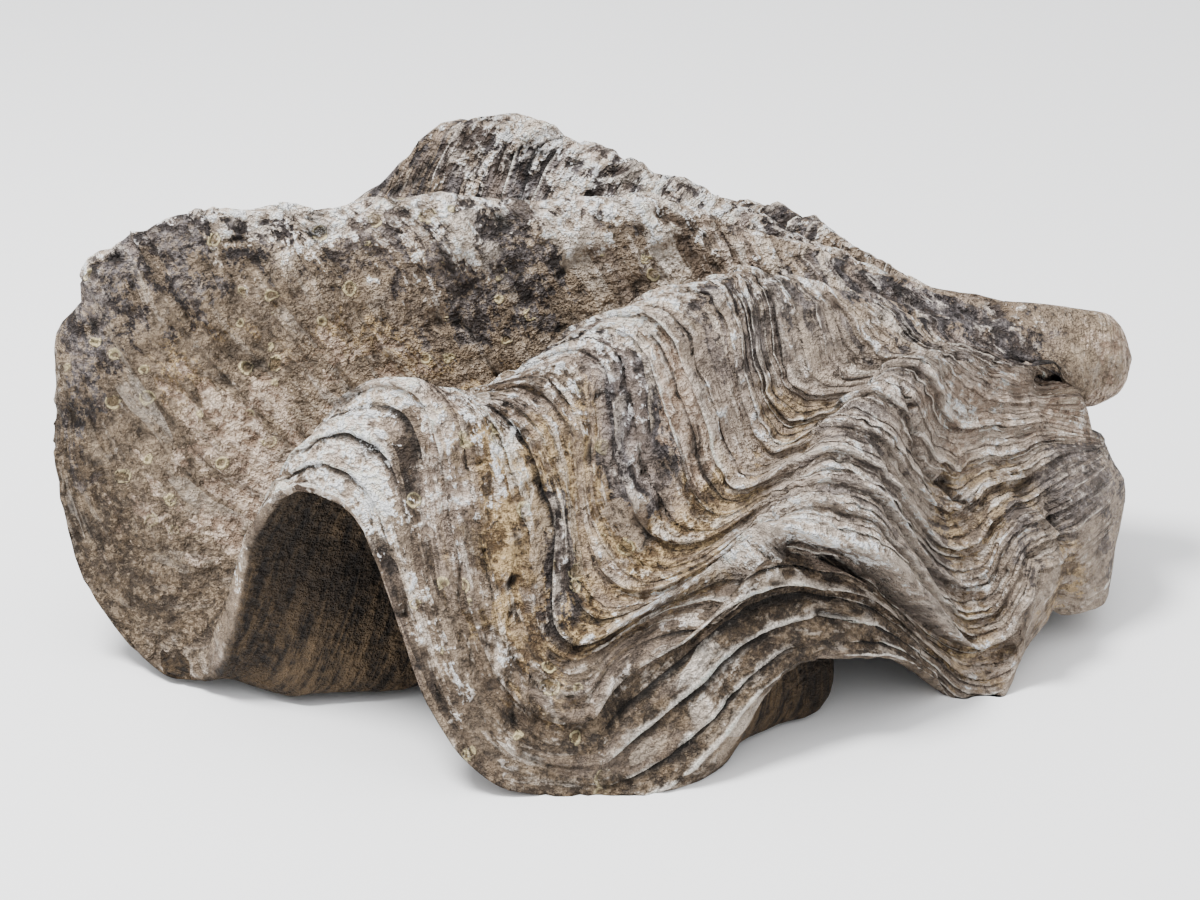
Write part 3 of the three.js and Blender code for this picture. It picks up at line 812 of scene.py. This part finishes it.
material = bpy.data.materials.new("weathered_shell")
material.use_nodes = True
tree = material.node_tree
tree.nodes.clear()


def colour(code):
    """An sRGB colour as linear values."""
    parts = [int(code[i:i + 2], 16) / 255 for i in (1, 3, 5)]
    return [c / 12.92 if c <= 0.04045 else ((c + 0.055) / 1.055)**2.4 for c in parts] + [1.0]


def node(kind, **settings):
    new = tree.nodes.new(kind)
    for key, value in settings.items():
        setattr(new, key, value)
    return new


def feed(socket, value):
    """Sets a socket to a number, or links it to another node's output."""
    if isinstance(value, (int, float)):
        socket.default_value = value
    elif isinstance(value, str):
        socket.default_value = colour(value)
    else:
        tree.links.new(value, socket)


def attribute(name):
    return node("ShaderNodeAttribute", attribute_name=name).outputs["Fac"]


def maths(operation, *values, clamp=False):
    new = node("ShaderNodeMath", operation=operation, use_clamp=clamp)
    for socket, value in zip(new.inputs, values):
        feed(socket, value)
    return new.outputs[0]


def add(a, b):
    return maths("ADD", a, b)


def times(a, b):
    return maths("MULTIPLY", a, b)


def ramp(value, low, high):
    """Rises smoothly from 0 at low to 1 at high. With low above high it falls instead."""
    new = node("ShaderNodeMapRange", interpolation_type="SMOOTHSTEP")
    feed(new.inputs["Value"], value)
    new.inputs["From Min"].default_value = low
    new.inputs["From Max"].default_value = high
    return new.outputs[0]


def mix(base, other, fac):
    new = node("ShaderNodeMix", data_type="RGBA")
    feed(new.inputs[0], fac)
    feed(new.inputs[6], base)
    feed(new.inputs[7], other)
    return new.outputs[2]


def texture(size, detail=4.0, rough=0.6, vector=None, distortion=0.0, shift=0.0):
    """Noise whose largest features are about size millimetres wide."""
    new = node("ShaderNodeTexNoise")
    moved = node("ShaderNodeVectorMath", operation="ADD")
    feed(moved.inputs[0], vector or coords)
    moved.inputs[1].default_value = (shift, shift * 0.7, -shift)
    feed(new.inputs["Vector"], moved.outputs[0])
    new.inputs["Scale"].default_value = 1000 / size
    new.inputs["Detail"].default_value = detail
    new.inputs["Roughness"].default_value = rough
    new.inputs["Distortion"].default_value = distortion
    return new.outputs["Fac"]


def warped(vector, reach, size):
    """Coordinates pushed about by noise, so that cells get ragged edges."""
    push = node("ShaderNodeTexNoise")
    feed(push.inputs["Vector"], vector)
    push.inputs["Scale"].default_value = 1000 / size
    push.inputs["Detail"].default_value = 3
    centred = node("ShaderNodeVectorMath", operation="SUBTRACT")
    feed(centred.inputs[0], push.outputs["Color"])
    centred.inputs[1].default_value = (0.5, 0.5, 0.5)
    scaled = node("ShaderNodeVectorMath", operation="SCALE")
    feed(scaled.inputs[0], centred.outputs[0])
    scaled.inputs["Scale"].default_value = reach * 2
    moved = node("ShaderNodeVectorMath", operation="ADD")
    feed(moved.inputs[0], vector)
    feed(moved.inputs[1], scaled.outputs[0])
    return moved.outputs[0]


def cells(size, vector):
    """Cells about size millimetres wide: the distance from their middles, and two random tones."""
    new = node("ShaderNodeTexVoronoi")
    feed(new.inputs["Vector"], vector)
    new.inputs["Scale"].default_value = 1000 / size
    tones = node("ShaderNodeSeparateColor")
    feed(tones.inputs[0], new.outputs["Color"])
    return new.outputs["Distance"], tones.outputs[0], tones.outputs[1]


def summed(*parts):
    """The sum of the values, each times its share."""
    total = times(*parts[-1])
    for part in reversed(parts[:-1]):
        total = add(times(*part), total)
    return total


def less(whole, value, share):
    """The whole less a share of the value."""
    return maths("SUBTRACT", whole, times(value, share))


def laid(base, over, value, low, high, share):
    """Lays another colour over the base: none where the value is low, the share of it where it is high."""
    return mix(base, over, times(ramp(value, low, high), share))


coords = node("ShaderNodeTexCoord").outputs["Object"]
lip, hollow, raised_highlight, inside = map(attribute, ("lip", "hollow", "raised_highlight", "inside"))
calm, soft, pitted, dusky = map(attribute, ("calm", "soft", "pitted", "dusky"))

# Coordinates on the unrolled shell, so that fine lines and streaks follow the layers.
combine = node("ShaderNodeCombineXYZ")
for socket, axis in zip(combine.inputs, "xyz"):
    feed(socket, attribute("unrolled_" + axis))
grown = combine.outputs[0]
lines = texture(4.5, 4, 0.62, grown, 0.2)
bands = texture(15, 4, 0.6, grown, 0.2, 0.5)
streaks = texture(8, 4, 0.72, grown, 0.3, 0.9)

large = texture(110, 2, 0.6)
patchy = texture(34, 5, 0.72, distortion=0.4)
medium = texture(13, 4, 0.7, distortion=0.3, shift=0.31)
small = texture(6, 3, 0.7, shift=0.77)
sparse = texture(5, 3, 0.75, shift=1.9)
fine = texture(3.5, 2, 0.7, shift=2.3)
_, flake_tone, flake_choice = cells(6, warped(grown, 0.004, 9))
wild = times(less(1.0, calm, 0.75), less(1.0, soft, 0.45))

# Warm grey-brown ground, mottled at every size and laid in small flakes of slightly different tones.
plain = summed((patchy, 0.25), (medium, 0.35), (small, 0.4))
streaked = summed((patchy, 0.35), (medium, 0.2), (streaks, 0.45))
base = mix("#4a3d32", "#ad9c8a", ramp(mix(streaked, plain, pitted), 0.4, 0.6))
base = mix(base, "#9a8b79", times(calm, 0.6))
base = mix(base, "#cdc1b6", times(soft, 0.6))
base = laid(base, "#6a5d53", small, 0.5, 0.42, times(soft, 0.45))
base = laid(base, mix("#54473c", "#c2b3a2", flake_tone), flake_choice, 0.3, 0.4, times(0.42, wild))


def covers(name):
    """Where a colour lies: its weight is the share of the ground that it covers, in ragged patches."""
    low, high = (0.6, 0.4) if name == "cream" else (0.4, 0.6)
    cloud = ramp(summed((patchy, 0.5), (streaks, 0.35), (small, 0.15)), low, high)
    edge = maths("SUBTRACT", times(attribute(name), 1.15), cloud)
    return ramp(edge, -0.04, 0.12)


def tinted(base, name, dark, light, depth):
    shade = mix(dark, light, ramp(summed((small, 0.5), (medium, 0.5)), 0.44, 0.57))
    return mix(base, shade, times(covers(name), depth))


# Patches of other colours.
dusk = mix("#31281f", "#685947", ramp(summed((small, 0.6), (medium, 0.4)), 0.42, 0.58))
base = mix(base, dusk, times(dusky, 0.85))
base = tinted(base, "ochre", "#6b573b", "#c8b088", 0.8)
base = tinted(base, "slate", "#353032", "#787374", 0.9)
base = tinted(base, "rosy", "#a08c7b", "#e0cfc0", 0.85)
base = tinted(base, "cream", "#b5a799", "#fffaf4", 0.9)

# Growth lines: streaks of light and dark along the layers, painted shade in the grooves, and pale ridges
# that are partly wear and partly painted highlight.
base = laid(base, "#b8a89c", bands, 0.52, 0.6, times(0.45, wild))
base = laid(base, "#5b4c3f", bands, 0.46, 0.38, times(0.45, wild))
base = laid(base, "#2b231d", summed((lines, 0.75), (small, 0.25)), 0.47, 0.38, times(0.6, wild))
base = laid(base, "#eae1d7", summed((lines, 0.65), (small, 0.35)), 0.54, 0.64, times(0.6, wild))

# Fine grain on the calm flanks.
grain = summed((fine, 0.6), (medium, 0.4))
base = laid(base, "#43372b", grain, 0.475, 0.4, times(calm, 0.5))
base = laid(base, "#b5a48f", grain, 0.515, 0.59, times(calm, 0.5))

# Rings that borers and barnacles left on the pitted flanks.
ring_distance, ring_choice, ring_breadth = cells(15, warped(coords, 0.003, 11))
chosen = times(ramp(ring_choice, 0.6, 0.62), ramp(pitted, 0.25, 0.6))
ring_reach = maths("SUBTRACT", ring_distance, add(times(ring_breadth, 0.2), 0.14))
ring_break = ramp(medium, 0.44, 0.5)
ring = times(times(ramp(maths("ABSOLUTE", ring_reach), 0.07, 0.03), chosen), ring_break)
ring_floor = times(ramp(ring_reach, 0.0, -0.06), chosen)
base = mix(base, "#7b6c4e", times(ring_floor, 0.5))
base = mix(base, "#d8cba6", times(ring, 0.8))

# Lips are pale, partly from wear and partly as painted highlight; bumps get a painted highlight, and hollows
# and the feet of layers get painted shade.
base = laid(base, "#f3ece3", times(lip, add(small, 0.45)), 0.4, 0.75, 0.75)
base = laid(base, "#ded3c7", times(raised_highlight, add(medium, small)), 0.35, 0.85, 0.5)
base = laid(base, "#17110d", times(hollow, add(small, 0.5)), 0.25, 0.85, less(0.85, soft, 0.45))

# The contrast between the layers of the fan is soft.
base = mix(base, "#bdb0a4", times(soft, 0.3))

# Scraps of pale and dark crust.
mood = summed((streaks, 0.5), (patchy, 0.5))
pale_scrap = times(times(ramp(flake_tone, 0.78, 0.8), ramp(mood, 0.48, 0.56)), wild)
dark_scrap = times(times(ramp(flake_tone, 0.2, 0.18), ramp(mood, 0.53, 0.45)), wild)
base = mix(base, mix("#b5a592", "#f6efe6", flake_choice), times(pale_scrap, 0.7))
base = mix(base, "#2a211b", times(dark_scrap, 0.6))

# White flecks of lichen and chipped shell, and black specks.
bare = summed((patchy, 0.5), (raised_highlight, 0.25), (attribute("cream"), 0.25))
fleck = times(ramp(summed((small, 0.5), (streaks, 0.5)), 0.55, 0.59), ramp(bare, 0.27, 0.4))
base = mix(base, "#ffffff", times(times(fleck, wild), less(0.9, dusky, 0.6)))
speck = times(times(ramp(sparse, 0.42, 0.36), ramp(medium, 0.56, 0.44)), wild)
base = mix(base, "#17120f", times(speck, 0.65))

# The underside is brown and streaked along the growth, and painted dark as shade under the arches.
under = mix("#2b231c", "#75644f", ramp(summed((streaks, 0.5), (lines, 0.25), (small, 0.25)), 0.4, 0.6))
under = laid(under, "#2c241d", large, 0.4, 0.65, 0.6)
base = mix(base, under, ramp(inside, 0.55, 1.0))

# Fine relief: chips, growth lines and rings.
heights = summed((lines, 0.9), (small, 1.6), (medium, 1.2), (streaks, 0.8), (flake_tone, 0.3))
heights = add(heights, summed((ring, 0.4), (ring_floor, -0.35)))
bump = node("ShaderNodeBump")
bump.inputs["Strength"].default_value = 1.0
bump.inputs["Distance"].default_value = RELIEF_DEPTH
feed(bump.inputs["Height"], heights)

# The whole is deepened, with brighter lights and darker darks.
deep = node("ShaderNodeGamma")
feed(deep.inputs["Color"], base)
deep.inputs["Gamma"].default_value = DEEPENING
bright = node("ShaderNodeVectorMath", operation="MULTIPLY")
feed(bright.inputs[0], deep.outputs[0])
bright.inputs[1].default_value = (BRIGHTNESS, BRIGHTNESS, BRIGHTNESS)
limited = node("ShaderNodeVectorMath", operation="MINIMUM")
feed(limited.inputs[0], bright.outputs[0])
limited.inputs[1].default_value = (PALEST, PALEST, PALEST)
shader = node("ShaderNodeBsdfPrincipled")
feed(shader.inputs["Base Color"], limited.outputs[0])
feed(shader.inputs["Normal"], bump.outputs[0])
feed(shader.inputs["Roughness"], maths("MULTIPLY_ADD", small, 0.3, 0.62))
shader.inputs["Specular IOR Level"].default_value = 0.3
output = node("ShaderNodeOutputMaterial")
feed(output.inputs["Surface"], shader.outputs[0])
mesh.materials.append(material)

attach(shell, "root")
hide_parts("shell")

# Floor, light and camera.

FLOOR_REACH = 6.0
SKY_LOW = 0.2
SKY_HIGH = 2.35
LIT_PLACE = (0, 0, 0.1)
VIEW_TILT = math.radians(24)
VIEW_DISTANCE = 1.6
VIEW_MIDDLE = np.array([0, 0, 0.121]) - ORIGIN / 1000
LENS = 80.0
SENSOR = 36.0

floor_mesh = bpy.data.meshes.new("floor")
corners = [(FLOOR_REACH * x, FLOOR_REACH * y, 0) for x, y in ((-1, -1), (1, -1), (1, 1), (-1, 1))]
floor_mesh.from_pydata(corners, [], [(0, 1, 2, 3)])
floor = bpy.data.objects.new("floor", floor_mesh)
bpy.context.scene.collection.objects.link(floor)
floor_material = bpy.data.materials.new("pale_floor")
floor_material.use_nodes = True
floor_shader = floor_material.node_tree.nodes["Principled BSDF"]
floor_shader.inputs["Base Color"].default_value = (0.9, 0.9, 0.9, 1)
floor_shader.inputs["Roughness"].default_value = 0.9
floor_mesh.materials.append(floor_material)

# The sky is bright overhead and dim towards the horizon.
world = bpy.data.worlds.new("studio")
bpy.context.scene.world = world
world.use_nodes = True
sky = world.node_tree
place = sky.nodes.new("ShaderNodeTexCoord")
split = sky.nodes.new("ShaderNodeSeparateXYZ")
climb = sky.nodes.new("ShaderNodeMapRange")
sky.links.new(place.outputs["Generated"], split.inputs[0])
sky.links.new(split.outputs["Z"], climb.inputs["Value"])
climb.inputs["To Min"].default_value = SKY_LOW
climb.inputs["To Max"].default_value = SKY_HIGH
sky.nodes["Background"].inputs["Color"].default_value = (0.97, 0.98, 1.0, 1)
sky.links.new(climb.outputs[0], sky.nodes["Background"].inputs["Strength"])


def area_light(name, place, target, size, power):
    data = bpy.data.lights.new(name, "AREA")
    data.shape = "DISK"
    data.size = size
    data.energy = power
    light = bpy.data.objects.new(name, data)
    bpy.context.scene.collection.objects.link(light)
    light.location = place
    aim = np.array(target) - np.array(place)
    light.rotation_euler = (math.atan2(aim[2], math.hypot(aim[0], aim[1])) + math.pi / 2, 0,
                            math.atan2(aim[1], aim[0]) - math.pi / 2)


area_light("key", place=(-0.8, -0.3, 2.2), target=LIT_PLACE, size=0.7, power=98)
area_light("fill", place=(1.8, -1.8, 1.4), target=LIT_PLACE, size=2.0, power=8)

camera_data = bpy.data.cameras.new("camera")
camera_data.lens = LENS
camera_data.sensor_width = SENSOR
camera = bpy.data.objects.new("camera", camera_data)
camera.location = VIEW_MIDDLE + VIEW_DISTANCE * np.array([0, -math.cos(VIEW_TILT), math.sin(VIEW_TILT)])
camera.rotation_euler = (math.pi / 2 - VIEW_TILT, 0, 0)
bpy.context.scene.collection.objects.link(camera)
bpy.context.scene.camera = camera
